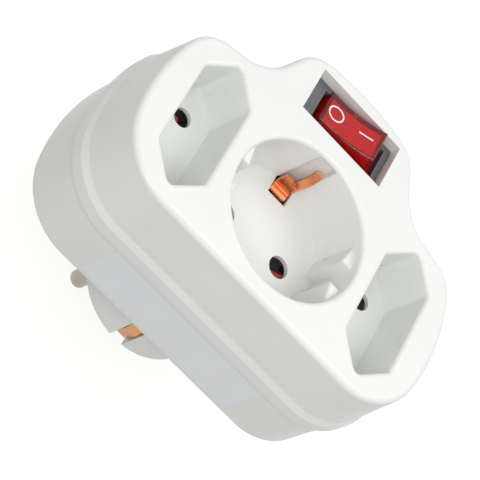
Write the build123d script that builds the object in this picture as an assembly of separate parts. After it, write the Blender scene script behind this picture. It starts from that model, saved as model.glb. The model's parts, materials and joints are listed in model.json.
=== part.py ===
from build123d import *
import math
import os

# Three-way mains adapter with a lit rocker switch, in millimetres.
# X runs along the row of sockets, Y toward the switch, Z out of the sockets.
# The origin is the centre of the plug nose's end face, which the plug pins stand on.

# Body outline, seen from the front
half_length = 48.2
end_bulge = 5.2
base_edge = 25.1
shoulder_edge = 21.6
valley_x = 25.6
valley_y = 24.9
bump_x = 17.9
crown_y = 43.1
crown_rise = 2.3
base_radius = 17.6
shoulder_radius = 11.0
valley_radius = 14.8
bump_radius = 9.9

# Heights of the stacked sections, from the nose to the face
nose_length = 17.5
rear_height = 18.3
belt_height = 5.9
belt_shoulder = 2.0
front_height = 16.3
seat_z = nose_length
seam_z = seat_z + rear_height
belt_top = seam_z + belt_height
face_z = belt_top + front_height

# How far each section stands outside the face's outline
front_flare = 0.9
belt_step = 0.8
rear_step = 1.2
rear_draft = 0.3
belt_grow = front_flare + belt_step
rear_grow = belt_grow - rear_step

# Walls, rounds and general clearances
wall = 2.2
face_wall = 2.5
rear_wall = 2.4
face_round = 1.5
back_round = 1.3
belt_round = 0.5
lip_height = 1.8
lip_wall = 1.4
clearance = 0.3
fit_gap = 0.1
past = 1.0

# Label on the rear shell
label_half_length = 25.0
label_height = 15.3
label_gap = 0.9
label_thickness = 0.12
label_corner = 0.8

# Earthed round well
well_radius = 19.7
well_depth = 17.4
well_wall = 1.8
well_floor = 1.3
well_rim = 1.0
pin_pitch = 19.0
well_hole_radius = 2.85
rib_channel = 6.8
rib_tip_reach = 3.5
rib_wall_reach = 2.4
rib_tip_x = well_radius - rib_tip_reach
rib_wall_x = well_radius - rib_wall_reach
rib_wall_y = 9.4
rib_drop = 3.0
rib_round = 0.8
slot_width = 5.8
slot_bottom = 21.4
slot_drop = 1.2
slot_back_wall = 1.4
floor_slot_start = 14.5
well_floor_z = face_z - well_depth

# Hexagonal wells
euro_shift = 2.0
euro_x = (well_radius + half_length) / 2 - euro_shift
euro_half_width = 7.6
euro_flat_half = 12.6
euro_half_length = 20.2
euro_corner = 1.8
euro_depth = 15.5
euro_rim = 1.0
euro_hole_radius = 2.5
euro_floor_z = face_z - euro_depth

# Switch opening and switch
switch_inset = 11.0
switch_x = 1.2
switch_y = crown_y - switch_inset
rocker_base_half = 10.2
rocker_half_width = 4.8
rocker_gap_x = 0.4
rocker_gap_y = 0.3
window_half_x = rocker_base_half + rocker_gap_x
window_half_y = rocker_half_width + rocker_gap_y
case_wall_x = 0.9
case_wall_y = 1.0
case_half_x = window_half_x + case_wall_x
case_half_y = window_half_y + case_wall_y
flange_lap_x = 1.05
flange_lap_y = 0.75
opening_half_x = switch_x + case_half_x + flange_lap_x
opening_half_y = case_half_y + flange_lap_y
opening_gap = 0.25
frame_drop = 3.0
flange_thickness = 1.6
ledge_thickness = 2.0
collar_wall = 1.6
collar_overlap = 0.5
case_height = 19.0
case_floor = 1.2
frame_z = face_z - frame_drop
case_bottom = frame_z - case_height

# Rocker, drawn level about its pivot and then tipped to its off position
rocker_tilt = 13.0
pivot_drop = 2.5
pivot_z = frame_z - pivot_drop
rocker_top_half = 8.2
rocker_top = 6.6
rocker_sag = 1.1
rocker_bottom = 1.6
rocker_cap_wall = 1.1
rocker_round = 0.5
trunnion_radius = 1.2
stem_half = 2.2
stem_length = 5.4
plunger_radius = 1.2
plunger_round = 0.9
plunger_reach = 3.0
plunger_seat = 3.4
plunger_wire = 0.4

# Contact set of the switch
blade_past = 1.0
blade_right = 3.5
blade_half_width = 1.8
blade_tilt = 8.0
ridge_radius = 0.35
sheet = 0.8
tab_width = 4.8
tab_length = 8.0
foot_gap = 0.2
foot_half_width = 1.2
tab_pitch = window_half_x - tab_width / 2 - foot_gap
lamp_radius = 1.9
lamp_length = 9.4
lamp_tip_round = 1.5
lamp_lift = 4.4
resistor_radius = 1.1
resistor_length = 6.4
cradle_half_x = 2.4
cradle_web = 1.0
lamp_sink = 0.6
latch_reach = 0.9
latch_height = 3.0
latch_half_width = 2.5

# Plug nose and pins
nose_radius = 19.0
nose_round = 0.5
nose_wall = 3.5
nose_bore = 14.3
notch_gap = 0.5
groove_width = 4.2
groove_bottom = 16.6
pin_radius = 2.4
pin_length = 19.0
pin_tip_round = 0.8
pin_seat = 1.5
pin_neck = 0.2
shank_radius = 2.0
rivet_radius = 3.0
rivet_height = 1.6
lug_radius = 3.6

# Live and neutral metalwork
rail_z = seat_z + rear_wall
rail_near = 10.0
rail_far = 15.0
euro_sleeve_bore = 2.05
well_sleeve_bore = 2.45
sleeve_wall = 0.8
sleeve_slot = 1.0
sleeve_top_gap = 1.6
link_width = 4.0
riser_y = 7.4
link_rise = 4.1
branch_x = 15.0
branch_width = 5.0
arm_x = 4.5
lead_radius = 0.7
lead_bend = 3.0
lead_x = 17.5
lead_rise = 6.0

# Earth metalwork
strap_x = -0.2
strap_half_width = 2.45
finger_half_width = 1.2
finger_x = 0.7
riser_strap_y = 16.2
finger_y = 18.3
finger_bow = 1.2
base_rise = 5.2
finger_rise = 8.8
clip_half_width = 1.7
clip_tip_z = 1.8
clip_bulge_z = 6.0
clip_bulge = 0.9
clip_flange = 5.5
bend_radius = 0.9

# Shutters
shutter_thickness = 2.4
hub_radius = 5.2
boss_radius = 2.0
well_arm_turn = 21.4
well_arm_lead = -3.05
well_arm_width = -7.0
well_arm_reach = 13.4
euro_arm_turn = 90.0
euro_arm_lead = -1.0
euro_arm_width = 6.5
euro_arm_reach = 9.8
ramp = 1.2
spring_wire = 0.5
spring_turns = 2
spring_radius = 3.2
spring_leg = 1.6
leg_share = 0.8
ring_pitch = 0.9

# Housing screws
screw_inset_x = 8.6
screw_inset_y = 4.6
screw_x = half_length - screw_inset_x
screw_y = shoulder_edge - screw_inset_y
screw_boss_radius = 2.8
screw_radius = 1.45
screw_pilot = 1.25
screw_head_radius = 2.4
screw_head_height = 2.0
screw_seat = 6.0
screw_bite = 9.0
head_gap = 0.3

SIDES = (-1, 1)


def mirrored(x, y):
    """The four places that mirror one point across both axes."""
    return [(side_x * x, side_y * y) for side_x in SIDES for side_y in SIDES]


def rod(radius, bottom, top, x=0.0, y=0.0):
    """Upright cylinder between two heights."""
    return Pos(x, y, bottom) * Cylinder(radius, top - bottom, align=(Align.CENTER, Align.CENTER, Align.MIN))


def block(low, high):
    """Box between two corners."""
    size = [b - a for a, b in zip(low, high)]
    return Pos(*low) * Box(*size, align=(Align.MIN, Align.MIN, Align.MIN))


def draft_angle(offset_each_side, height):
    """Taper that moves a wall sideways by an amount over a height."""
    return math.degrees(math.atan2(offset_each_side, height))


def outline(grow=0.0):
    """Body outline as a flat face, grown outward."""
    corner_x = half_length - end_bulge
    bump_y = crown_y - crown_rise
    middle_y = (shoulder_edge - base_edge) / 2
    face = make_face(
        [
            ThreePointArc((-bump_x, bump_y), (0, crown_y), (bump_x, bump_y)),
            Line((bump_x, bump_y), (valley_x, valley_y)),
            Line((valley_x, valley_y), (corner_x, shoulder_edge)),
            ThreePointArc((corner_x, shoulder_edge), (half_length, middle_y), (corner_x, -base_edge)),
            Line((corner_x, -base_edge), (-corner_x, -base_edge)),
            ThreePointArc((-corner_x, -base_edge), (-half_length, middle_y), (-corner_x, shoulder_edge)),
            Line((-corner_x, shoulder_edge), (-valley_x, valley_y)),
            Line((-valley_x, valley_y), (-bump_x, bump_y)),
        ]
    )
    corners = [
        (bump_x, bump_y, bump_radius),
        (valley_x, valley_y, valley_radius),
        (corner_x, shoulder_edge, shoulder_radius),
        (corner_x, -base_edge, base_radius),
    ]
    for x, y, radius in corners:
        for side in SIDES:
            corner = face.vertices().sort_by_distance((side * x, y, 0))[0]
            face = fillet(corner, radius)
    return offset(face, grow) if grow else face


def hexagon(grow=0.0):
    """Outline of a hexagonal well, its points toward +Y and -Y."""
    face = make_face(
        Polyline(
            (euro_half_width, -euro_flat_half),
            (euro_half_width, euro_flat_half),
            (0, euro_half_length),
            (-euro_half_width, euro_flat_half),
            (-euro_half_width, -euro_flat_half),
            (0, -euro_half_length),
            close=True,
        )
    )
    face = fillet(face.vertices(), euro_corner)
    return offset(face, grow) if grow else face


def guide_ribs(grow=0.0):
    """Outlines of the four guide ribs of an earthed well, as one sketch."""
    outer = well_radius + well_wall / 2
    half_channel = rib_channel / 2
    rib = make_face(
        Polyline(
            (outer, half_channel),
            (rib_tip_x, half_channel),
            (rib_wall_x, rib_wall_y),
            (outer, rib_wall_y),
            close=True,
        )
    )
    if grow:
        rib = offset(rib, grow, kind=Kind.INTERSECTION)
    pair = rib + mirror(rib, about=Plane.XZ)
    return pair + mirror(pair, about=Plane.YZ)


def strip(plane, path, width):
    """Bent sheet metal: a path drawn on a plane, given the sheet's thickness and a width."""
    return extrude(plane * trace(path, sheet), width / 2, both=True)


def end_corners(shape):
    """Corner edges at the ends of a bent strip, lowest first."""
    return shape.edges().filter_by(lambda edge: edge.length < sheet + fit_gap).sort_by(Axis.Z)


def front_housing():
    """Face, wells, switch opening and belt as one moulding."""
    belt = Pos(Z=seam_z) * extrude(outline(belt_grow), belt_height - belt_shoulder)
    belt = fillet(belt.faces().sort_by(Axis.Z)[0].edges(), belt_round)
    shoulder = Pos(Z=belt_top - belt_shoulder) * extrude(
        outline(belt_grow), belt_shoulder, taper=draft_angle(belt_step, belt_shoulder)
    )
    front = Pos(Z=belt_top) * extrude(
        outline(front_flare), front_height, taper=draft_angle(front_flare, front_height)
    )
    front = fillet(front.faces().sort_by(Axis.Z)[-1].edges(), face_round)
    body = belt + shoulder + front
    body -= Pos(Z=seam_z) * extrude(outline(-wall), face_z - face_wall - seam_z)

    # Round well with its earth slots and guide ribs
    body += rod(well_radius + well_wall, well_floor_z - well_floor, face_z - face_wall / 2)
    slot_block_y = slot_bottom + slot_back_wall
    slot_block_x = slot_width / 2 + well_wall
    body += block(
        (-slot_block_x, -slot_block_y, well_floor_z - well_floor),
        (slot_block_x, slot_block_y, face_z - face_wall / 2),
    )
    body -= rod(well_radius, well_floor_z, face_z + face_wall)
    for side in SIDES:
        slot = block(
            (-slot_width / 2, floor_slot_start, well_floor_z - 2 * well_floor),
            (slot_width / 2, slot_bottom, face_z - slot_drop),
        )
        body -= slot if side > 0 else mirror(slot, about=Plane.XZ)
        hole_bottom = well_floor_z - 2 * well_floor
        body -= rod(well_hole_radius, hole_bottom, well_floor_z + past, side * pin_pitch / 2)
    ribs = Pos(Z=well_floor_z) * extrude(guide_ribs(), well_depth - rib_drop)
    ribs = fillet(ribs.edges().group_by(Axis.Z)[-1], rib_round)
    body += ribs & rod(well_radius + well_wall / 2, well_floor_z, face_z)
    body += rod(boss_radius, well_floor_z - well_floor - clearance - shutter_thickness, well_floor_z - past)

    # Hexagonal wells
    for side in SIDES:
        well_height = euro_depth + well_floor - face_wall / 2
        body += Pos(side * euro_x, 0, euro_floor_z - well_floor) * extrude(hexagon(well_wall), well_height)
        body -= Pos(side * euro_x, 0, euro_floor_z) * extrude(hexagon(), euro_depth + face_wall)
        for end in SIDES:
            body -= rod(
                euro_hole_radius,
                euro_floor_z - 2 * well_floor,
                euro_floor_z + past,
                side * euro_x,
                end * pin_pitch / 2,
            )
        boss_bottom = euro_floor_z - well_floor - clearance - shutter_thickness
        body += rod(boss_radius, boss_bottom, euro_floor_z - past, side * euro_x)

    # Switch opening: a collar with a ledge that the switch flange sits on
    ledge_z = frame_z - flange_thickness
    collar_x = opening_half_x + collar_wall
    collar_y = opening_half_y + collar_wall
    body += block(
        (-collar_x, switch_y - collar_y, ledge_z - ledge_thickness),
        (collar_x, switch_y + collar_y, face_z - face_wall + collar_overlap),
    )
    body -= block(
        (-opening_half_x, switch_y - opening_half_y, ledge_z),
        (opening_half_x, switch_y + opening_half_y, face_z + face_wall),
    )
    hole_x = case_half_x + opening_gap
    hole_y = case_half_y + opening_gap
    body -= block(
        (switch_x - hole_x, switch_y - hole_y, ledge_z - 2 * ledge_thickness),
        (switch_x + hole_x, switch_y + hole_y, ledge_z + flange_thickness),
    )

    # Screw bosses
    for x, y in mirrored(screw_x, screw_y):
        body += rod(screw_boss_radius, seam_z, face_z - face_wall / 2, x, y)
        body -= rod(screw_pilot, seam_z - past, seam_z + screw_bite + past, x, y)

    # Soft rims where the wells open on the face
    rims = [(0, well_radius + well_wall, well_rim)]
    rims += [(side * euro_x, euro_half_length + well_wall, euro_rim) for side in SIDES]
    for x, reach, round_size in rims:
        top_edges = body.edges().filter_by_position(Axis.Z, face_z - fit_gap, face_z + fit_gap)
        body = fillet(rim_edges(top_edges, x, reach), round_size)
    return body


def rim_edges(edges, x, reach):
    """Edges that lie whole within a distance of a well's axis."""
    near = []
    for edge in edges:
        places = [edge @ share for share in (0, 0.5, 1)]
        if all(math.hypot(place.X - x, place.Y) < reach for place in places):
            near.append(edge)
    return near


def rear_form(grow=0.0):
    """Solid form of the rear shell with its draft, grown outward."""
    foot = outline(rear_grow - rear_draft + grow)
    return Pos(Z=seat_z) * extrude(foot, rear_height, taper=-draft_angle(rear_draft, rear_height))


def rating_label():
    """Thin label on the straight long side of the rear shell, under the belt."""
    label_bottom = seam_z - label_gap - label_height
    window = block(
        (-label_half_length, -half_length, label_bottom),
        (label_half_length, -nose_radius, seam_z - label_gap),
    )
    window = fillet(window.edges().filter_by(Axis.Y), label_corner)
    return (rear_form(label_thickness) - rear_form()) & window


def rear_housing():
    """Rear shell with the round plug nose as one moulding."""
    shell = rear_form()
    shell = fillet(shell.faces().sort_by(Axis.Z)[0].edges(), back_round)
    nose = rod(nose_radius, 0, seat_z + rear_wall / 2)
    nose = fillet(nose.faces().sort_by(Axis.Z)[0].edges(), nose_round)
    nose -= extrude(guide_ribs(notch_gap), seat_z)
    for side in SIDES:
        groove = block(
            (-groove_width / 2, groove_bottom, -past),
            (groove_width / 2, nose_radius + past, seat_z),
        )
        nose -= groove if side > 0 else mirror(groove, about=Plane.XZ)
    body = shell + nose

    # Room inside, and the lip that locates the front housing
    inner_z = seat_z + rear_wall
    body -= Pos(Z=inner_z) * extrude(outline(rear_grow - rear_draft - wall), rear_height)
    body -= rod(nose_bore, nose_wall, inner_z + past)
    lip_outside = -wall - fit_gap
    lip = extrude(outline(lip_outside), lip_height + lip_wall)
    lip += extrude(outline(rear_grow - rear_draft - wall / 2), lip_wall)
    lip -= extrude(outline(lip_outside - lip_wall), lip_height + lip_wall)
    body += Pos(Z=seam_z - lip_wall) * lip

    # Screw posts, counterbored from the back
    for x, y in mirrored(screw_x, screw_y):
        post_radius = screw_head_radius + head_gap + wall / 2
        body += rod(post_radius, inner_z - fit_gap, seat_z + screw_seat + wall, x, y)
        body += rod(screw_boss_radius, seat_z + screw_seat, seam_z, x, y)
        body -= rod(screw_radius + fit_gap, seat_z, seam_z + lip_height + past, x, y)
        body -= rod(screw_head_radius + head_gap, seat_z - past, seat_z + screw_seat, x, y)
        body -= rod(screw_boss_radius + clearance, seam_z, seam_z + lip_height + past, x, y)

    # Holes for the pins, ways through for the earth clips, and posts under the hexagonal wells' shutters
    for side in SIDES:
        pin_x = side * pin_pitch / 2
        body -= rod(shank_radius + fit_gap / 2, -past, nose_wall + past, pin_x)
        body -= rod(pin_radius + fit_gap / 2, -past, pin_seat, pin_x)
        way = block(
            (-clip_half_width - clearance, groove_bottom, seat_z - past),
            (clip_half_width + clearance, groove_bottom + sheet + 2 * clearance, inner_z + past),
        )
        body -= way if side > 0 else mirror(way, about=Plane.XZ)
        post_top = euro_floor_z - well_floor - 2 * clearance - shutter_thickness
        body += rod(boss_radius + fit_gap, inner_z - past, post_top, side * euro_x)
    return body


def plug_pin(side):
    """Round pin with a rounded tip, seated in the nose's end wall and riveted through it."""
    x = side * pin_pitch / 2
    pin = rod(pin_radius, -pin_length, 0, x)
    pin = fillet(pin.faces().sort_by(Axis.Z)[0].edges(), pin_tip_round)
    neck = rod(pin_radius - pin_neck, 0, pin_seat, x)
    shank = rod(shank_radius, pin_seat, nose_wall + sheet, x)
    head = rod(rivet_radius, nose_wall + sheet, nose_wall + sheet + rivet_height, x)
    return pin + neck + shank + head


def sleeve(bore, top, x, y):
    """Rolled contact sleeve that stands on a rail, slotted so that it can grip a pin."""
    bottom = rail_z + sheet
    body = rod(bore + sleeve_wall, rail_z, top, x, y) - rod(bore, bottom, top + past, x, y)
    reach = bore + 2 * sleeve_wall
    slot_bottom_z = bottom + (top - bottom) / 3
    body -= block(
        (x - reach, y - sleeve_slot / 2, slot_bottom_z),
        (x + reach, y + sleeve_slot / 2, top + past),
    )
    return body


def rail(side):
    """Rail along one side with its three sleeves; side is +1 for live, -1 for neutral."""
    low, high = sorted((side * rail_near, side * rail_far))
    body = block((-euro_x, low, rail_z), (euro_x, high, rail_z + sheet))
    euro_top = euro_floor_z - well_floor - shutter_thickness - sleeve_top_gap
    well_top = well_floor_z - well_floor - shutter_thickness - sheet - 2 * sleeve_top_gap
    for end in SIDES:
        body += sleeve(euro_sleeve_bore, euro_top, end * euro_x, side * pin_pitch / 2)
    body += sleeve(well_sleeve_bore, well_top, -side * pin_pitch / 2, 0)
    return body


def pin_lug(side, toward):
    """Round lug under a pin's rivet head, with a tail to the riser beside the pin."""
    x = side * pin_pitch / 2
    low, high = sorted((0, toward * (riser_y + sheet)))
    lug = block((x - link_width / 2, low, nose_wall), (x + link_width / 2, high, nose_wall + sheet))
    lug += rod(lug_radius, nose_wall, nose_wall + sheet, x)
    return lug - rod(shank_radius + fit_gap / 2, nose_wall - past, nose_wall + sheet + past, x)


def riser(side, toward, top):
    """Upright strip beside a pin, from its lug to a height."""
    x = side * pin_pitch / 2
    low, high = sorted((toward * riser_y, toward * (riser_y + sheet)))
    return block((x - link_width / 2, low, nose_wall), (x + link_width / 2, high, top))


def switch_riser(x, width, bottom):
    """Upright strip that lies against a switch terminal."""
    near = switch_y - sheet / 2
    return block((x - width / 2, near - sheet, bottom), (x + width / 2, near, case_bottom - clearance))


def neutral_rail():
    """Neutral rail, joined straight to its plug pin."""
    x = pin_pitch / 2
    body = rail(-1) + pin_lug(1, -1) + riser(1, -1, rail_z + sheet)
    body += block((x - branch_width / 2, -rail_near, rail_z), (x + branch_width / 2, 0, rail_z + sheet))
    return body


def live_rail():
    """Switched live rail, with an arm to the switch."""
    x = pin_pitch / 2
    body = rail(1)
    body += block(
        (-branch_x - branch_width, -branch_width / 2, rail_z), (-branch_x, rail_near, rail_z + sheet)
    )
    body += block((-branch_x, -branch_width / 2, rail_z), (-x, branch_width / 2, rail_z + sheet))
    arm_end = switch_y - sheet / 2
    arm_side = arm_x + link_width
    body += block((arm_x, rail_far, rail_z), (arm_side, arm_end, rail_z + sheet))
    riser_side = switch_x - link_width / 2
    body += block((riser_side, arm_end - link_width, rail_z), (arm_side, arm_end, rail_z + sheet))
    return body + switch_riser(switch_x, link_width, rail_z)


def live_link():
    """Link from the live plug pin to the switch, bridging over the live rail."""
    x = -pin_pitch / 2
    bridge_z = rail_z + link_rise
    body = pin_lug(-1, 1) + riser(-1, 1, bridge_z + sheet)
    arm_end = switch_y - sheet / 2
    body += block((x - link_width / 2, riser_y, bridge_z), (x + link_width / 2, arm_end, bridge_z + sheet))
    terminal_x = switch_x - tab_pitch
    body += block(
        (x - link_width / 2, arm_end - link_width, bridge_z),
        (terminal_x + link_width / 2, arm_end, bridge_z + sheet),
    )
    return body + switch_riser(terminal_x, link_width, bridge_z)


def lamp_lead():
    """Insulated lead from the lamp terminal, over the live rail, to the neutral rail."""
    terminal_x = switch_x + tab_pitch
    solder_y = switch_y + sheet / 2 + lead_radius
    rail_y = -(rail_near + rail_far) / 2
    run_z = rail_z + lead_rise
    path = FilletPolyline(
        (terminal_x, solder_y, case_bottom - tab_length / 2),
        (terminal_x, solder_y, run_z),
        (lead_x, solder_y, run_z),
        (lead_x, rail_y, run_z),
        (lead_x, rail_y, rail_z + sheet),
        radius=lead_bend,
    )
    return sweep(Plane(path @ 0, z_dir=path % 0) * Circle(lead_radius), path)


def earth_strap():
    """Strap under the round well with a sprung finger up each side of it."""
    strap_z = well_floor_z - well_floor - shutter_thickness - 2 * clearance - sheet / 2
    tab_z = well_floor_z - sheet / 2
    base_top = tab_z + base_rise
    half_path = FilletPolyline(
        (0, strap_z),
        (riser_strap_y, strap_z),
        (riser_strap_y, tab_z),
        (finger_y, tab_z),
        (finger_y, base_top),
        radius=bend_radius,
    )
    half = Pos(X=strap_x) * strip(Plane.YZ, half_path, 2 * strap_half_width)
    finger_path = ThreePointArc(
        (finger_y, base_top - sheet),
        (finger_y - finger_bow, base_top + finger_rise / 2),
        (finger_y, base_top + finger_rise),
    )
    finger = Pos(X=finger_x) * strip(Plane.YZ, finger_path, 2 * finger_half_width)
    half += fillet(end_corners(finger)[-2:], finger_half_width - fit_gap)
    return half + Rot(Z=180) * half


def plug_earth_clip(side):
    """Earth clip in one groove of the nose, running up inside to the strap."""
    strap_bottom = well_floor_z - well_floor - shutter_thickness - 2 * clearance - sheet
    lie_y = groove_bottom + clearance + sheet / 2
    path = FilletPolyline(
        (lie_y, clip_tip_z),
        (lie_y + clip_bulge, clip_bulge_z),
        (lie_y, 2 * clip_bulge_z),
        (lie_y, strap_bottom - sheet / 2),
        (lie_y - clip_flange, strap_bottom - sheet / 2),
        radius=bend_radius,
    )
    clip = strip(Plane.YZ, path, 2 * clip_half_width)
    clip = fillet(end_corners(clip)[:2], clip_half_width - fit_gap)
    return clip if side > 0 else mirror(clip, about=Plane.XZ)


def shutter(turn, lead_y, width, reach, top, x):
    """Turning shutter: a hub on the well's boss and two ramped arms, pocketed for its spring.

    Each arm lies beside its ramped leading edge: above it for a positive width, below for a negative one.
    """
    bottom = top - shutter_thickness
    arm = Pos(reach, lead_y + width / 2) * Rectangle(2 * reach, abs(width)) & Circle(reach)
    plate = Circle(hub_radius) + [Rot(Z=turn + half_turn) * arm for half_turn in (0, 180)]
    body = Pos(Z=bottom) * extrude(plate, shutter_thickness)
    ramp_side = math.sqrt(2) * ramp
    ramp_cut = Pos(hub_radius + reach / 2, lead_y, top) * Rot(X=45) * Box(reach, ramp_side, ramp_side)
    for half_turn in (0, 180):
        body -= Rot(Z=turn + half_turn) * ramp_cut
    body -= rod(boss_radius + fit_gap, bottom - past, top + past)
    pocket_radius = spring_radius + spring_wire / 2 + fit_gap
    pocket_z = top - spring_turns * spring_wire - fit_gap
    body -= rod(pocket_radius, pocket_z, top + past)
    leg_half = spring_wire / 2 + fit_gap
    leg_end = spring_radius + spring_leg + fit_gap
    body -= block((0, -leg_half, pocket_z), (leg_end, leg_half, top + past))
    return Pos(X=x) * body


def shutter_spring(top, x):
    """Close-wound return spring in the shutter's pocket, with one leg out to the hub."""
    turns = Sketch()
    for turn in range(spring_turns):
        height = top - fit_gap - spring_wire * (ring_pitch * turn + 0.5)
        turns += Plane.XZ * Pos(spring_radius, height) * Circle(spring_wire / 2)
    coil = revolve(turns, Axis.Z)
    leg_z = top - fit_gap - spring_wire / 2
    leg = Plane.YZ.offset(spring_radius) * Pos(0, leg_z) * Circle(leg_share * spring_wire / 2)
    return Pos(X=x) * (coil + extrude(leg, spring_leg))


def switch_case():
    """Dark case of the switch with its flange, sunk in the opening."""
    flange_x = opening_half_x - opening_gap
    flange_y = opening_half_y - opening_gap
    body = block(
        (-flange_x, switch_y - flange_y, frame_z - flange_thickness), (flange_x, switch_y + flange_y, frame_z)
    )
    body += block(
        (switch_x - case_half_x, switch_y - case_half_y, case_bottom),
        (switch_x + case_half_x, switch_y + case_half_y, frame_z),
    )
    body -= block(
        (switch_x - window_half_x, switch_y - window_half_y, case_bottom + case_floor),
        (switch_x + window_half_x, switch_y + window_half_y, frame_z + past),
    )
    trunnion = Plane.XZ * Pos(switch_x, pivot_z) * Circle(trunnion_radius + fit_gap / 2)
    body -= Pos(Y=switch_y) * extrude(trunnion, case_half_y + past, both=True)
    for place in SIDES + (0,):
        x = switch_x + place * tab_pitch
        body -= block(
            (x - tab_width / 2 - fit_gap, switch_y - sheet / 2 - fit_gap, case_bottom - past),
            (x + tab_width / 2 + fit_gap, switch_y + sheet / 2 + fit_gap, case_bottom + case_floor + past),
        )
    for side in SIDES:
        low, high = sorted((side * window_half_y, side * (window_half_y - cradle_web)))
        body += block(
            (switch_x + tab_pitch - cradle_half_x, switch_y + low, case_bottom),
            (switch_x + tab_pitch + cradle_half_x, switch_y + high, case_bottom + case_floor + lamp_lift),
        )
        latch_z = frame_z - flange_thickness - ledge_thickness - clearance
        latch = make_face(
            Polyline(
                (side * (case_half_x - fit_gap), latch_z),
                (side * (case_half_x + latch_reach), latch_z),
                (side * (case_half_x - fit_gap), latch_z - latch_height),
                close=True,
            )
        )
        body += Pos(switch_x, switch_y) * extrude(Plane.XZ * latch, latch_half_width, both=True)
    return body - lamp_space(fit_gap / 2)


def tipped(shape):
    """Tips a level rocker piece to the off position about the pivot."""
    return Pos(switch_x, switch_y, pivot_z) * Rot(Y=-rocker_tilt) * shape


def rocker_form(inset=0.0):
    """Rocker's solid form with its hollow top, level about the pivot and drawn in on every side."""
    profile = make_face(
        [
            ThreePointArc(
                (-rocker_top_half, rocker_top), (0, rocker_top - rocker_sag), (rocker_top_half, rocker_top)
            ),
            Polyline(
                (rocker_top_half, rocker_top),
                (rocker_base_half, 0),
                (rocker_base_half - rocker_round, -rocker_bottom),
                (rocker_round - rocker_base_half, -rocker_bottom),
                (-rocker_base_half, 0),
                (-rocker_top_half, rocker_top),
            ),
        ]
    )
    if inset:
        profile = offset(profile, -inset, kind=Kind.INTERSECTION)
    return extrude(Plane.XZ * profile, rocker_half_width - inset, both=True)


def rocker_foot(inset):
    """Block that fills the open underside of the rocker's cap."""
    half_x = rocker_base_half - rocker_round - inset
    half_y = rocker_half_width - inset
    return block((-half_x, -half_y, -rocker_bottom), (half_x, half_y, 0))


def trunnions(radius, half_length_y):
    """Cross pin along the rocker's pivot."""
    return extrude(Plane.XZ * Circle(radius), half_length_y, both=True)


def rocker():
    """Clear cap of the rocker: a thin hollow shell, open below and notched for the pivot."""
    body = rocker_form()
    top_z = rocker_top - rocker_sag - rocker_round
    body = fillet(body.edges().filter_by_position(Axis.Z, top_z, rocker_top + past), rocker_round)
    body -= rocker_form(rocker_cap_wall)
    body -= rocker_foot(rocker_cap_wall)
    notch = trunnion_radius + fit_gap
    notch_y = rocker_half_width + past
    body -= trunnions(notch, notch_y)
    body -= block((-notch, -notch_y, -rocker_bottom - past), (notch, notch_y, 0))
    return tipped(body)


def rocker_carrier():
    """Inner body of the rocker under its cap, with the trunnions and the stem that holds the plunger."""
    inset = rocker_cap_wall + fit_gap
    body = rocker_form(inset) + rocker_foot(inset)
    body += trunnions(trunnion_radius, case_half_y - fit_gap)
    stem_bottom = -rocker_bottom - stem_length
    body += block((-stem_half, -stem_half, stem_bottom), (stem_half, stem_half, 0))
    body -= rod(plunger_radius + fit_gap, stem_bottom - past, stem_bottom + stem_length)
    return tipped(body)


def plunger():
    """Round-nosed plunger in the rocker's stem."""
    stem_bottom = -rocker_bottom - stem_length
    body = rod(plunger_radius, stem_bottom - plunger_reach, stem_bottom + plunger_seat - plunger_reach / 2)
    body = fillet(body.faces().sort_by(Axis.Z)[0].edges(), plunger_round)
    return tipped(body)


def plunger_spring():
    """Spring between the plunger and the end of its bore, pressed nearly solid."""
    bore_top = -rocker_bottom
    seat = -rocker_bottom - stem_length + plunger_seat - plunger_reach / 2
    count = int((bore_top - seat) / (2 * plunger_wire * ring_pitch))
    turns = Sketch()
    for turn in range(count):
        height = seat + 2 * plunger_wire * (ring_pitch * turn + 0.5)
        turns += Plane.XZ * Pos(plunger_radius - plunger_wire, height) * Circle(plunger_wire)
    return tipped(revolve(turns, Axis.Z))


def blade_height():
    """Underside of the see-saw contact where it rocks on its terminal."""
    tip = pivot_z - rocker_bottom - stem_length - plunger_reach
    return tip - clearance - sheet


def ridge(radius, half_length_y):
    """Round bar along the line that the see-saw contact rocks on."""
    bar = extrude(Plane.XZ * Circle(radius), half_length_y, both=True)
    return Pos(switch_x, switch_y, blade_height()) * bar


def contact_blade():
    """See-saw contact under the plunger, grooved below and tipped with its far end down."""
    blade = block((-tab_pitch - blade_past, -blade_half_width, 0), (blade_right, blade_half_width, sheet))
    button = rod(blade_half_width / 2, -sheet / 2, sheet / 2, -tab_pitch)
    tipped_blade = Pos(switch_x, switch_y, blade_height()) * Rot(Y=blade_tilt) * (blade + button)
    return tipped_blade - ridge(ridge_radius + fit_gap, blade_half_width + past)


def terminal(place, top):
    """Flat terminal through the case floor, with a foot that rests on the floor."""
    x = switch_x + place * tab_pitch
    near = switch_y - sheet / 2
    tab = block(
        (x - tab_width / 2, near, case_bottom - tab_length), (x + tab_width / 2, near + sheet, top)
    )
    tab = fillet(tab.edges().filter_by(Axis.Y).group_by(Axis.Z)[0], sheet)
    foot_z = case_bottom + case_floor
    foot_low = (x - tab_width / 2, switch_y - foot_half_width, foot_z)
    return tab + block(foot_low, (x + tab_width / 2, switch_y + foot_half_width, foot_z + sheet))


def terminal_switched(top):
    """Middle terminal, with a narrow round-topped tongue under the see-saw contact."""
    half_y = sheet / 2
    tongue = block(
        (switch_x - ridge_radius, switch_y - half_y, top - past),
        (switch_x + ridge_radius, switch_y + half_y, blade_height()),
    )
    return terminal(0, top) + tongue + ridge(ridge_radius, half_y)


def terminal_tops():
    """Heights of the three terminals: live in, switched live out and lamp."""
    out_top = blade_height() - 2 * clearance
    blade_drop = math.sin(math.radians(blade_tilt)) * tab_pitch
    in_top = blade_height() - blade_drop - sheet - clearance
    lamp_top = case_bottom + case_floor + lamp_lift / 3
    return {-1: in_top, 0: out_top, 1: lamp_top}


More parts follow.
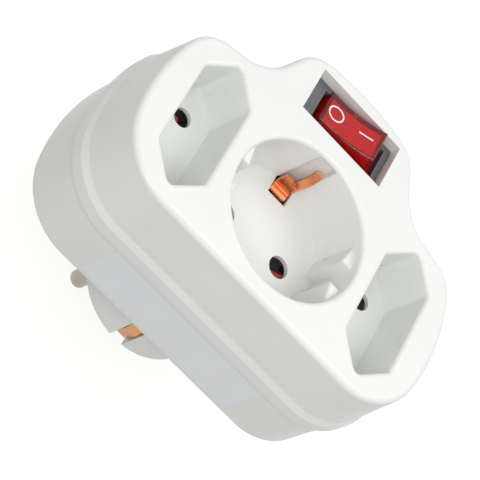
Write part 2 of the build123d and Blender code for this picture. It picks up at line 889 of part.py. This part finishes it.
def lamp_space(grow=0.0):
    """Cylinder that the lamp takes up, lying across the case."""
    height = case_bottom + case_floor + lamp_lift + lamp_radius - lamp_sink
    tube = Plane.XZ * Pos(switch_x + tab_pitch, height) * Circle(lamp_radius + grow)
    return Pos(Y=switch_y) * extrude(tube, lamp_length / 2 + grow, both=True)


def lamp():
    """Small neon lamp with one rounded end, lying on its cradles."""
    body = lamp_space()
    return fillet(body.faces().sort_by(Axis.Y)[-1].edges(), lamp_tip_round)


def lamp_resistor():
    """Series resistor of the lamp, lying on the case floor beside the lamp terminal."""
    x = switch_x + tab_pitch - tab_width / 2 - resistor_radius
    height = case_bottom + case_floor + resistor_radius + fit_gap / 2
    tube = Plane.XZ * Pos(x - fit_gap, height) * Circle(resistor_radius)
    return Pos(Y=switch_y) * extrude(tube, resistor_length / 2, both=True)


def housing_screws():
    """Four screws, driven from the back into the front housing's bosses."""
    screws = []
    for x, y in mirrored(screw_x, screw_y):
        seat = seat_z + screw_seat
        head = rod(screw_head_radius, seat - screw_head_height, seat, x, y)
        shank = rod(screw_radius - fit_gap, seat, seam_z, x, y)
        thread = rod(screw_pilot - fit_gap / 2, seam_z, seam_z + screw_bite, x, y)
        screws.append(head + shank + thread)
    return Compound(children=screws)


def pieces():
    """Every node of the adapter by name."""
    well_shutter_top = well_floor_z - well_floor - clearance
    euro_shutter_top = euro_floor_z - well_floor - clearance
    well_arm = (well_arm_turn, well_arm_lead, well_arm_width, well_arm_reach)
    euro_arm = (euro_arm_turn, euro_arm_lead, euro_arm_width, euro_arm_reach)
    tops = terminal_tops()
    return {
        "front_housing": front_housing(),
        "rear_housing": rear_housing(),
        "rating_label": rating_label(),
        "plug_pin_live": plug_pin(-1),
        "plug_pin_neutral": plug_pin(1),
        "live_link": live_link(),
        "live_rail": live_rail(),
        "neutral_rail": neutral_rail(),
        "lamp_lead": lamp_lead(),
        "earth_strap": earth_strap(),
        "plug_earth_clip_upper": plug_earth_clip(1),
        "plug_earth_clip_lower": plug_earth_clip(-1),
        "shutter_centre": shutter(*well_arm, well_shutter_top, 0),
        "shutter_left": shutter(*euro_arm, euro_shutter_top, -euro_x),
        "shutter_right": shutter(*euro_arm, euro_shutter_top, euro_x),
        "spring_centre": shutter_spring(well_shutter_top, 0),
        "spring_left": shutter_spring(euro_shutter_top, -euro_x),
        "spring_right": shutter_spring(euro_shutter_top, euro_x),
        "switch_case": switch_case(),
        "rocker": rocker(),
        "rocker_carrier": rocker_carrier(),
        "plunger": plunger(),
        "plunger_spring": plunger_spring(),
        "contact_blade": contact_blade(),
        "terminal_live": terminal(-1, tops[-1]),
        "terminal_switched": terminal_switched(tops[0]),
        "terminal_lamp": terminal(1, tops[1]),
        "lamp": lamp(),
        "lamp_resistor": lamp_resistor(),
        "housing_screws": housing_screws(),
    }


os.makedirs("parts", exist_ok=True)
for node, shape in pieces().items():
    export_step(shape, f"parts/{node}.step")
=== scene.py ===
import json
import math

import bmesh
import bpy
from mathutils import Matrix, Vector


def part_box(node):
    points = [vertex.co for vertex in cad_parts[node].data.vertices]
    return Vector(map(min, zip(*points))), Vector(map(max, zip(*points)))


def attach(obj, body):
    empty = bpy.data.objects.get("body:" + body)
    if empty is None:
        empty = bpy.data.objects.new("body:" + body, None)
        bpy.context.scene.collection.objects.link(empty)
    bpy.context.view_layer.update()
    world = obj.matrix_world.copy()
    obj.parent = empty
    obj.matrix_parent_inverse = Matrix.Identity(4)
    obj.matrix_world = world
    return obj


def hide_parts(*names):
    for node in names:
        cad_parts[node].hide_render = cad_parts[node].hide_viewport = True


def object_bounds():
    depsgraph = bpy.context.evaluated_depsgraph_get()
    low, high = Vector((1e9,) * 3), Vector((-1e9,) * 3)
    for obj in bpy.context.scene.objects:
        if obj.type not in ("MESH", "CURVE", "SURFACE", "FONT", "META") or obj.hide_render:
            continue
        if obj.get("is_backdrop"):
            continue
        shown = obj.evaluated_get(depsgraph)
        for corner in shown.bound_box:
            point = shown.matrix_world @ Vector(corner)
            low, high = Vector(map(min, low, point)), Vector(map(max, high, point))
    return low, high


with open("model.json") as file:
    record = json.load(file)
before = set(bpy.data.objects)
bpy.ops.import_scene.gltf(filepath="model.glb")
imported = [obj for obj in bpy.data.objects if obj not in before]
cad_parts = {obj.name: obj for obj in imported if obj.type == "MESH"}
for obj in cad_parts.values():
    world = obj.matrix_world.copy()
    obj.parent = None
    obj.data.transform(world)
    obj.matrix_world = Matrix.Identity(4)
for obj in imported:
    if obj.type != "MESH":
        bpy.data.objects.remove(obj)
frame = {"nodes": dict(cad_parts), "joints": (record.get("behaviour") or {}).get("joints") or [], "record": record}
cad_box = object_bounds()
nodes = frame["nodes"]
joints = {joint["name"]: joint for joint in frame["joints"]}

MM = 0.001

# Camera, fitted to the photograph, in metres in the part's frame
CAMERA_PLACE = (-0.1957, -0.3687, 0.4808)
CAMERA_FORWARD = (0.3195, 0.606, -0.7285)
CAMERA_UP = (-0.6758, 0.6846, 0.273)
CAMERA_NEAR = 0.01
LENS_MM = 193.28
SENSOR_MM = 36.0

# Light and stage
WORLD_LIGHT = 0.6
FLOOR_GAP = 0.3 * MM
FLOOR_SIZE = 6.0
FLOOR_COLOUR = (0.3, 0.305, 0.285, 1.0)
FLOOR_GLOW = 0.8

# Lamps, aimed at the origin: place and width in metres, power in watts
LAMPS = {
    "key": ((0.35, 0.3, 0.9), 0.6, 2.7),
    "fill": ((-0.24, -0.65, 0.74), 0.5, 3.5),
}

# Marks on the rocker, measured from its pivot while it is level
MARK_LINE = 0.38 * MM
MARK_HEIGHT = 0.04 * MM
MARK_ROOT = 0.06 * MM
RING_CENTRE = (-4.95 * MM, 0.15 * MM)
RING_RADII = (2.15 * MM, 1.85 * MM)
RING_STEPS = 72
BAR_START = 2.05 * MM
BAR_END = 6.0 * MM
BAR_SIDE = 0.45 * MM
BAR_STEPS = 12
ROCKER_TOP = 6.6 * MM
ROCKER_TOP_HALF = 8.2 * MM
ROCKER_SAG = 1.1 * MM

# Screws
SCREW_HEAD_RADIUS = 2.4 * MM
SCREW_HEAD_HEIGHT = 2.0 * MM
SCREW_SHANK_RADIUS = 1.35 * MM
SCREW_CROWN = 0.5 * MM
SCREW_CROWN_STEPS = 5
SCREW_STEPS = 48
CROSS_LENGTH = 2.8 * MM
CROSS_WIDTH = 0.75 * MM
CROSS_DEPTH = 1.2 * MM
CROSS_TAPER = 0.45

# Sockets of a colour mix: the two colours and the result
MIX_FIRST = 6
MIX_SECOND = 7
MIX_RESULT = 2

EDGE_SAMPLES = 6

# Matt plastics: colour, shade, size of the grain, its depth, roughness
GRAINED = {
    "lead_cover": ((0.1, 0.2, 0.55), (0.08, 0.16, 0.45), 0.3 * MM, 0.01 * MM, 0.45),
    "shutter_red": ((0.36, 0.02, 0.02), (0.28, 0.015, 0.015), 0.3 * MM, 0.008 * MM, 0.4),
    "switch_grey": ((0.12, 0.13, 0.145), (0.09, 0.1, 0.112), 0.25 * MM, 0.012 * MM, 0.42),
    "carrier_white": ((0.86, 0.8, 0.78), (0.8, 0.72, 0.7), 0.4 * MM, 0.006 * MM, 0.45),
    "plunger_white": ((0.8, 0.8, 0.77), (0.74, 0.74, 0.7), 0.4 * MM, 0.006 * MM, 0.45),
    "resistor_body": ((0.6, 0.48, 0.32), (0.5, 0.4, 0.27), 0.3 * MM, 0.008 * MM, 0.4),
}


class Finish:
    """A material whose colour, gloss and grain vary with the place on the part, in metres."""

    def __init__(self, name, colour, roughness, metallic=0.0, **sockets):
        self.material = bpy.data.materials.new(name)
        self.material.use_nodes = True
        self.tree = self.material.node_tree
        self.shader = self.tree.nodes["Principled BSDF"]
        self.place = self.tree.nodes.new("ShaderNodeTexCoord").outputs["Object"]
        self.normal = None
        self.set("Base Color", (*colour, 1.0))
        self.set("Roughness", roughness)
        self.set("Metallic", metallic)
        for socket, value in sockets.items():
            self.set(socket.replace("_", " "), value)

    def set(self, socket, value):
        """Gives one of the shader's sockets a value that is the same all over."""
        self.shader.inputs[socket].default_value = value

    def node(self, kind, **settings):
        """Adds a node with its settings."""
        node = self.tree.nodes.new(kind)
        for name, value in settings.items():
            setattr(node, name, value)
        return node

    def link(self, output, target):
        """Joins an output to an input."""
        self.tree.links.new(output, target)

    def scaled_place(self, stretch):
        """Place on the part, stretched along each axis."""
        if stretch == (1, 1, 1):
            return self.place
        mapping = self.node("ShaderNodeMapping")
        mapping.inputs["Scale"].default_value = stretch
        self.link(self.place, mapping.inputs["Vector"])
        return mapping.outputs["Vector"]

    def noise(self, size, detail=3.0, stretch=(1, 1, 1)):
        """Cloudy map with features about as large as size."""
        noise = self.node("ShaderNodeTexNoise")
        noise.inputs["Scale"].default_value = 1.0 / size
        noise.inputs["Detail"].default_value = detail
        self.link(self.scaled_place(stretch), noise.inputs["Vector"])
        return noise.outputs["Fac"]

    def cells(self, size):
        """Map of small rounded cells, as a spark-eroded mould leaves."""
        cells = self.node("ShaderNodeTexVoronoi", feature="SMOOTH_F1")
        cells.inputs["Scale"].default_value = 1.0 / size
        self.link(self.place, cells.inputs["Vector"])
        return cells.outputs["Distance"]

    def rings(self, pitch, axis):
        """Fine turned lines across an axis."""
        wave = self.node("ShaderNodeTexWave", wave_type="BANDS", bands_direction=axis)
        wave.inputs["Scale"].default_value = math.pi / (10 * pitch)
        wave.inputs["Distortion"].default_value = 0.6
        self.link(self.place, wave.inputs["Vector"])
        return wave.outputs["Fac"]

    def ranged(self, value, low, high, start=0.3, end=0.7):
        """Maps the busy middle of a map onto a range."""
        node = self.node("ShaderNodeMapRange")
        node.inputs["From Min"].default_value = start
        node.inputs["From Max"].default_value = end
        node.inputs["To Min"].default_value = low
        node.inputs["To Max"].default_value = high
        self.link(value, node.inputs["Value"])
        return node.outputs["Result"]

    def near_height(self, height, reach):
        """Map that is 1 at a height of the part and fades to 0 within a reach of it."""
        split = self.node("ShaderNodeSeparateXYZ")
        self.link(self.place, split.inputs["Vector"])
        away = self.node("ShaderNodeMath", operation="SUBTRACT")
        self.link(split.outputs["Z"], away.inputs[0])
        away.inputs[1].default_value = height
        size = self.node("ShaderNodeMath", operation="ABSOLUTE")
        self.link(away.outputs["Value"], size.inputs[0])
        return self.ranged(size.outputs["Value"], 1.0, 0.0, 0.0, reach)

    def times(self, first, second):
        """Product of two maps, or of a map and a number."""
        node = self.node("ShaderNodeMath", operation="MULTIPLY")
        self.link(first, node.inputs[0])
        if isinstance(second, float):
            node.inputs[1].default_value = second
        else:
            self.link(second, node.inputs[1])
        return node.outputs["Value"]

    def blend_colour(self, value, colour):
        """Lays a colour over the present one where a map is high."""
        base = self.shader.inputs["Base Color"]
        mix = self.node("ShaderNodeMix", data_type="RGBA")
        if base.is_linked:
            self.link(base.links[0].from_socket, mix.inputs[MIX_FIRST])
        else:
            mix.inputs[MIX_FIRST].default_value = base.default_value
        mix.inputs[MIX_SECOND].default_value = (*colour, 1.0)
        self.link(value, mix.inputs["Factor"])
        self.link(mix.outputs[MIX_RESULT], base)
        return self

    def vary_gloss(self, value, low, high):
        """Roughness between two levels, following a map."""
        self.link(self.ranged(value, low, high), self.shader.inputs["Roughness"])
        return self

    def soft_edges(self, radius):
        """Rounds the look of hard edges by a small radius."""
        bevel = self.node("ShaderNodeBevel", samples=EDGE_SAMPLES)
        bevel.inputs["Radius"].default_value = radius
        self.normal = bevel.outputs["Normal"]
        self.link(self.normal, self.shader.inputs["Normal"])
        return self

    def bump(self, value, height):
        """Raises the surface by a map, as high as height."""
        bump = self.node("ShaderNodeBump")
        bump.inputs["Distance"].default_value = height
        self.link(value, bump.inputs["Height"])
        if self.normal:
            self.link(self.normal, bump.inputs["Normal"])
        self.normal = bump.outputs["Normal"]
        self.link(self.normal, self.shader.inputs["Normal"])
        return self


def shell_plastic(name, colour, shade, seam_height):
    """White moulded plastic: faint mottling, uneven gloss, a fine grain and painted shade, a thin grey line, at
    the seam between the shells.
    """
    finish = Finish(name, colour, 0.34)
    finish.blend_colour(finish.ranged(finish.noise(14 * MM), 0.0, 0.6), shade)
    # Painted shade: a thin patchy grey line along the seam between the front and rear shells stands in for the
    # shadow in the joint.
    painted_seam_shade = finish.times(finish.near_height(seam_height, 0.5 * MM), finish.noise(2 * MM))
    finish.blend_colour(finish.times(painted_seam_shade, 0.5), (0.45, 0.45, 0.42))
    finish.vary_gloss(finish.noise(5 * MM, 5.0), 0.27, 0.42)
    finish.soft_edges(0.25 * MM)
    finish.bump(finish.noise(6 * MM, 2.0), 0.02 * MM)
    return finish.bump(finish.noise(0.35 * MM, 2.0), 0.004 * MM).material


def label_film():
    """Satin silver film of the bare label."""
    finish = Finish("label_film", (0.85, 0.855, 0.88), 0.38)
    finish.blend_colour(finish.ranged(finish.noise(9 * MM), 0.0, 0.5), (0.82, 0.825, 0.85))
    finish.vary_gloss(finish.noise(3 * MM, 4.0), 0.3, 0.45)
    return finish.bump(finish.noise(2.5 * MM, 2.0), 0.008 * MM).material


def nickel():
    """Turned and plated pins, dulled where they have been plugged in."""
    finish = Finish("pin_metal", (0.47, 0.44, 0.39), 0.3, metallic=1.0)
    finish.blend_colour(finish.ranged(finish.noise(3 * MM, 5.0), 0.0, 0.8), (0.35, 0.325, 0.28))
    scratches = finish.noise(1.2 * MM, 4.0, (1, 1, 0.08))
    finish.vary_gloss(scratches, 0.2, 0.42)
    finish.soft_edges(0.15 * MM)
    finish.bump(scratches, 0.004 * MM)
    return finish.bump(finish.rings(0.18 * MM, "Z"), 0.003 * MM).material


def sheet_metal(name, colour, tarnish, stretch):
    """Rolled strip: fine lines along the roll, patches of tarnish and slight dents."""
    finish = Finish(name, colour, 0.32, metallic=1.0)
    finish.blend_colour(finish.ranged(finish.noise(2.2 * MM, 5.0), 0.0, 0.9), tarnish)
    lines = finish.noise(0.5 * MM, 3.0, stretch)
    finish.vary_gloss(lines, 0.2, 0.4)
    finish.soft_edges(0.12 * MM)
    finish.bump(finish.noise(1.4 * MM, 1.0), 0.035 * MM)
    return finish.bump(lines, 0.006 * MM)


def brass():
    """Brass strip of the rails, terminals and contact."""
    return sheet_metal("brass", (0.74, 0.56, 0.26), (0.55, 0.4, 0.2), (0.1, 1, 1)).material


def copper():
    """Copper strip of the earth, with painted shade that makes it darker and browner towards the plug's end."""
    finish = sheet_metal("copper", (0.95, 0.4, 0.2), (0.85, 0.3, 0.13), (1, 1, 0.1))
    # Painted shade: the copper turns darker and browner within 30 mm of the plug's end.
    plug_end_shade = finish.times(finish.near_height(0.0, 30 * MM), 0.9)
    return finish.blend_colour(plug_end_shade, (0.45, 0.27, 0.13)).material


def grained_plastic(name, colour, shade, grain, depth, gloss):
    """Matt plastic from an eroded mould, with a grain of its own size."""
    finish = Finish(name, colour, gloss)
    finish.blend_colour(finish.ranged(finish.noise(4 * MM, 4.0), 0.0, 0.8), shade)
    finish.vary_gloss(finish.noise(1.5 * MM, 4.0), gloss - 0.08, gloss + 0.08)
    finish.soft_edges(0.15 * MM)
    return finish.bump(finish.cells(grain), depth).material


def clear_red():
    """Clear red polished plastic of the rocker's cap, with faint swirls and rubbed spots."""
    colour = (0.9, 0.01, 0.01)
    finish = Finish("rocker_red", colour, 0.06, Transmission_Weight=0.9, IOR=1.49, Specular_IOR_Level=0.15)
    finish.blend_colour(finish.ranged(finish.noise(5 * MM), 0.0, 0.5), (0.84, 0.006, 0.008))
    finish.vary_gloss(finish.noise(1.8 * MM, 5.0), 0.03, 0.11)
    return finish.bump(finish.noise(4 * MM, 2.0), 0.01 * MM).material


def drawn_wire():
    """Drawn spring wire with fine lines."""
    finish = Finish("spring_steel", (0.55, 0.55, 0.55), 0.3, metallic=1.0)
    finish.blend_colour(finish.ranged(finish.noise(0.8 * MM), 0.0, 0.8), (0.4, 0.4, 0.41))
    finish.vary_gloss(finish.noise(0.4 * MM, 4.0), 0.22, 0.42)
    return finish.bump(finish.noise(0.2 * MM), 0.004 * MM).material


def zinc():
    """Bright zinc plate of the screws, slightly yellowed."""
    finish = Finish("screw_steel", (0.55, 0.55, 0.54), 0.35, metallic=1.0)
    finish.blend_colour(finish.ranged(finish.noise(1.0 * MM, 5.0), 0.0, 0.8), (0.45, 0.43, 0.36))
    finish.vary_gloss(finish.noise(0.5 * MM, 4.0), 0.25, 0.5)
    finish.soft_edges(0.08 * MM)
    return finish.bump(finish.noise(0.3 * MM, 4.0), 0.006 * MM).material


def lamp_glass():
    """Clear glass of the small lamp."""
    finish = Finish("lamp_glass", (0.95, 0.85, 0.78), 0.03, Transmission_Weight=1.0, IOR=1.5)
    finish.vary_gloss(finish.noise(1.0 * MM), 0.02, 0.08)
    return finish.bump(finish.noise(2.0 * MM), 0.02 * MM).material


def white_paint():
    """Printed white of the rocker's marks, slightly worn."""
    finish = Finish("mark_white", (0.88, 0.88, 0.87), 0.4)
    finish.blend_colour(finish.ranged(finish.noise(0.5 * MM, 4.0), 0.0, 0.35), (0.8, 0.68, 0.66))
    finish.vary_gloss(finish.noise(0.4 * MM), 0.32, 0.5)
    return finish.bump(finish.noise(0.2 * MM), 0.004 * MM).material


def finishes(seam_height):
    """Material of each of the record's slots."""
    white = (0.838, 0.848, 0.826)
    made = {
        "shell_front": shell_plastic("shell_front", white, (0.8, 0.813, 0.79), seam_height),
        "shell_rear": shell_plastic("shell_rear", white, (0.79, 0.803, 0.776), seam_height),
        "label_film": label_film(),
        "pin_metal": nickel(),
        "brass": brass(),
        "copper": copper(),
        "spring_steel": drawn_wire(),
        "rocker_red": clear_red(),
        "lamp_glass": lamp_glass(),
        "screw_steel": zinc(),
    }
    for name, settings in GRAINED.items():
        made[name] = grained_plastic(name, *settings)
    return made


def dress(materials):
    """Gives each CAD node the finish of its slot."""
    for subpart in frame["record"]["subparts"]:
        node = nodes[subpart["node"]]
        node.data.materials.clear()
        node.data.materials.append(materials[subpart["material_slot"]])


def add_mesh(name, mesh, material, body):
    """Adds a new piece that rides on a body and takes the finish it is given."""
    piece = bpy.data.objects.new(name, mesh)
    bpy.context.scene.collection.objects.link(piece)
    mesh.materials.clear()
    mesh.materials.append(material)
    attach(piece, body)
    return piece


def rocker_surface():
    """Function that puts a point of the level rocker's hollow top in the part's frame."""
    joint = joints["rocker_tilt"]
    half_swing = math.radians(joint["range_deg"][1] / 2)
    pivot = Vector(joint["pos_m"])
    tip = Matrix.Rotation(-half_swing, 3, Vector(joint["axis"]))
    curve_radius = (ROCKER_TOP_HALF ** 2 + ROCKER_SAG ** 2) / (2 * ROCKER_SAG)
    centre = Vector((0, 0, ROCKER_TOP - ROCKER_SAG + curve_radius))

    def place(x, y, lift):
        depth = curve_radius - lift
        height = centre.z - math.sqrt(depth ** 2 - x ** 2)
        return pivot + tip @ Vector((x, y, height))

    return place


def swept_band(name, sections, closed):
    """Mesh swept through four-cornered sections, closed on itself or capped at its ends."""
    band = bmesh.new()
    loops = [[band.verts.new(point) for point in section] for section in sections]
    pairs = list(zip(loops, loops[1:] + loops[:1])) if closed else list(zip(loops, loops[1:]))
    for first, second in pairs:
        for corner in range(len(first)):
            following = (corner + 1) % len(first)
            band.faces.new((first[corner], first[following], second[following], second[corner]))
    if not closed:
        band.faces.new(loops[0])
        band.faces.new(loops[-1])
    bmesh.ops.recalc_face_normals(band, faces=band.faces)
    mesh = bpy.data.meshes.new(name)
    band.to_mesh(mesh)
    band.free()
    return mesh


def ring_mark(place):
    """Off mark: a printed ring on the rocker's low end."""
    sections = []
    for step in range(RING_STEPS):
        angle = 2 * math.pi * step / RING_STEPS
        corners = []
        for out, lift in mark_corners():
            x = RING_CENTRE[0] + (RING_RADII[0] + out) * math.cos(angle)
            y = RING_CENTRE[1] + (RING_RADII[1] + out) * math.sin(angle)
            corners.append(place(x, y, lift))
        sections.append(corners)
    return swept_band("off_mark", sections, True)


def bar_mark(place):
    """On mark: a printed bar on the rocker's high end."""
    sections = []
    for step in range(BAR_STEPS + 1):
        x = BAR_START + (BAR_END - BAR_START) * step / BAR_STEPS
        sections.append([place(x, BAR_SIDE + side, lift) for side, lift in mark_corners()])
    return swept_band("on_mark", sections, False)


def mark_corners():
    """Section of a mark's line: offsets across it, and heights over the rocker's top."""
    half = MARK_LINE / 2
    return [(-half, -MARK_ROOT), (half, -MARK_ROOT), (half, MARK_HEIGHT), (-half, MARK_HEIGHT)]


def lathe(name, profile, steps):
    """Closed turned mesh from a profile of radius and height, with points on the axis at both ends."""
    turned = bmesh.new()
    first = turned.verts.new((0, 0, profile[0][1]))
    last = turned.verts.new((0, 0, profile[-1][1]))
    loops = []
    for radius, height in profile[1:-1]:
        loop = []
        for step in range(steps):
            angle = 2 * math.pi * step / steps
            loop.append(turned.verts.new((radius * math.cos(angle), radius * math.sin(angle), height)))
        loops.append(loop)
    for step in range(steps):
        following = (step + 1) % steps
        turned.faces.new((first, loops[0][step], loops[0][following]))
        for lower, upper in zip(loops, loops[1:]):
            turned.faces.new((lower[step], lower[following], upper[following], upper[step]))
        turned.faces.new((last, loops[-1][following], loops[-1][step]))
    bmesh.ops.recalc_face_normals(turned, faces=turned.faces)
    mesh = bpy.data.meshes.new(name)
    turned.to_mesh(mesh)
    turned.free()
    return mesh


def cross_cutter(bottom):
    """Tapered cross that cuts a screw's drive."""
    cutter = bmesh.new()
    for turn in (0, math.pi / 2):
        made = bmesh.ops.create_cube(cutter, size=1.0)["verts"]
        for vert in made:
            taper = CROSS_TAPER if vert.co.z > 0 else 1.0
            vert.co.x *= CROSS_LENGTH * taper
            vert.co.y *= CROSS_WIDTH * taper
            vert.co.z *= 2 * CROSS_DEPTH
        bmesh.ops.rotate(cutter, verts=made, matrix=Matrix.Rotation(turn, 3, "Z"))
        bmesh.ops.translate(cutter, verts=made, vec=(0, 0, bottom))
    mesh = bpy.data.meshes.new("cross_cutter")
    cutter.to_mesh(mesh)
    cutter.free()
    return mesh


def screw_mesh(low, high):
    """One housing screw with a crowned head and a cross drive, standing on the axis."""
    seat = low.z + SCREW_HEAD_HEIGHT
    profile = [(0.0, low.z)]
    for step in range(1, SCREW_CROWN_STEPS + 1):
        angle = math.pi / 2 * step / SCREW_CROWN_STEPS
        profile.append((SCREW_HEAD_RADIUS * math.sin(angle), low.z + SCREW_CROWN * (1 - math.cos(angle))))
    profile += [
        (SCREW_HEAD_RADIUS, seat),
        (SCREW_SHANK_RADIUS, seat),
        (SCREW_SHANK_RADIUS, high.z - SCREW_SHANK_RADIUS),
        (0.0, high.z),
    ]
    blank = bpy.data.objects.new("screw_blank", lathe("screw_blank", profile, SCREW_STEPS))
    cutter = bpy.data.objects.new("cross_cutter", cross_cutter(low.z))
    for tool in (blank, cutter):
        bpy.context.scene.collection.objects.link(tool)
    cut = blank.modifiers.new("drive", "BOOLEAN")
    cut.object = cutter
    cut.operation = "DIFFERENCE"
    cut.solver = "EXACT"
    cut.use_self = True
    depsgraph = bpy.context.evaluated_depsgraph_get()
    mesh = bpy.data.meshes.new_from_object(blank.evaluated_get(depsgraph))
    for tool in (blank, cutter):
        bpy.data.objects.remove(tool)
    return mesh


def add_screws(material):
    """The four housing screws as one piece, each stopped at a turn of its own."""
    low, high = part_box("housing_screws")
    single = screw_mesh(low, high)
    group = bmesh.new()
    for x in (low.x + SCREW_HEAD_RADIUS, high.x - SCREW_HEAD_RADIUS):
        for y in (low.y + SCREW_HEAD_RADIUS, high.y - SCREW_HEAD_RADIUS):
            turn = x * y / MM
            moved = single.copy()
            moved.transform(Matrix.Translation((x, y, 0)) @ Matrix.Rotation(turn, 4, "Z"))
            group.from_mesh(moved)
    mesh = bpy.data.meshes.new("screws_with_drives")
    group.to_mesh(mesh)
    group.free()
    screws = add_mesh("screws_with_drives", mesh, material, "adapter")
    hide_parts("housing_screws")


def add_marks():
    """Ring and bar on the rocker's top."""
    place = rocker_surface()
    paint = white_paint()
    for mesh in (ring_mark(place), bar_mark(place)):
        add_mesh(mesh.name, mesh, paint, "rocker_body")


def seen_directly(tree):
    """Value that is 1 for rays from the camera, a mirror or a clear piece."""
    path = tree.nodes.new("ShaderNodeLightPath")
    total = path.outputs["Is Camera Ray"]
    for name in ("Is Glossy Ray", "Is Transmission Ray"):
        add = tree.nodes.new("ShaderNodeMath")
        add.operation = "MAXIMUM"
        tree.links.new(total, add.inputs[0])
        tree.links.new(path.outputs[name], add.inputs[1])
        total = add.outputs["Value"]
    return total


def scaled(tree, value, factor, base=0.0):
    """Value times a factor, over a base."""
    node = tree.nodes.new("ShaderNodeMath")
    node.operation = "MULTIPLY_ADD"
    tree.links.new(value, node.inputs[0])
    node.inputs[1].default_value = factor
    node.inputs[2].default_value = base
    return node.outputs["Value"]


def add_world():
    """White surroundings that light the part at a plain level."""
    world = bpy.data.worlds.new("studio")
    world.use_nodes = True
    bpy.context.scene.world = world
    tree = world.node_tree
    background = tree.nodes["Background"]
    background.inputs["Color"].default_value = (1, 1, 1, 1)
    strength = scaled(tree, seen_directly(tree), 1.0 - WORLD_LIGHT, WORLD_LIGHT)
    tree.links.new(strength, background.inputs["Strength"])


def add_floor():
    """Plain pale floor under the pins."""
    height = cad_box[0][2] - FLOOR_GAP
    half = FLOOR_SIZE / 2
    mesh = bpy.data.meshes.new("floor")
    corners = [(-half, -half, height), (half, -half, height), (half, half, height), (-half, half, height)]
    mesh.from_pydata(corners, [], [(0, 1, 2, 3)])
    floor = bpy.data.objects.new("floor", mesh)
    bpy.context.scene.collection.objects.link(floor)
    material = bpy.data.materials.new("floor")
    material.use_nodes = True
    tree = material.node_tree
    shader = tree.nodes["Principled BSDF"]
    shader.inputs["Base Color"].default_value = FLOOR_COLOUR
    shader.inputs["Roughness"].default_value = 1.0
    shader.inputs["Specular IOR Level"].default_value = 0.0
    shader.inputs["Emission Color"].default_value = (1, 1, 1, 1)
    tree.links.new(scaled(tree, seen_directly(tree), FLOOR_GLOW), shader.inputs["Emission Strength"])
    mesh.materials.append(material)
    floor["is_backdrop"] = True


def add_lamps():
    """Large soft lights: one over the sockets from behind, and one on the photographer's side."""
    for name, (place, size, watts) in LAMPS.items():
        lamp = bpy.data.lights.new(name, "AREA")
        lamp.shape = "DISK"
        lamp.size = size
        lamp.energy = watts
        light = bpy.data.objects.new(name, lamp)
        light.location = place
        light.rotation_euler = (-Vector(place)).to_track_quat("-Z", "Y").to_euler()
        bpy.context.scene.collection.objects.link(light)


def add_camera():
    """Camera where the photographer stood."""
    forward = Vector(CAMERA_FORWARD).normalized()
    right = forward.cross(Vector(CAMERA_UP)).normalized()
    up = right.cross(forward)
    matrix = Matrix((right, up, -forward)).transposed().to_4x4()
    matrix.translation = Vector(CAMERA_PLACE)
    data = bpy.data.cameras.new("camera")
    data.sensor_fit = "HORIZONTAL"
    data.sensor_width = SENSOR_MM
    data.lens = LENS_MM
    data.clip_start = CAMERA_NEAR
    camera = bpy.data.objects.new("camera", data)
    camera.matrix_world = matrix
    bpy.context.scene.collection.objects.link(camera)
    bpy.context.scene.camera = camera


def write_sizes():
    """Works out the CAD model's box and the visual model's box as plain lists."""
    boxes = {"cad": cad_box, "visual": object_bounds()}
    plain = {name: [list(corner) for corner in box] for name, box in boxes.items()}


bpy.context.scene.view_settings.view_transform = "Standard"
seam_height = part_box("front_housing")[0].z
materials = finishes(seam_height)
dress(materials)
add_screws(materials["screw_steel"])
add_marks()
add_world()
add_floor()
add_lamps()
add_camera()
write_sizes()
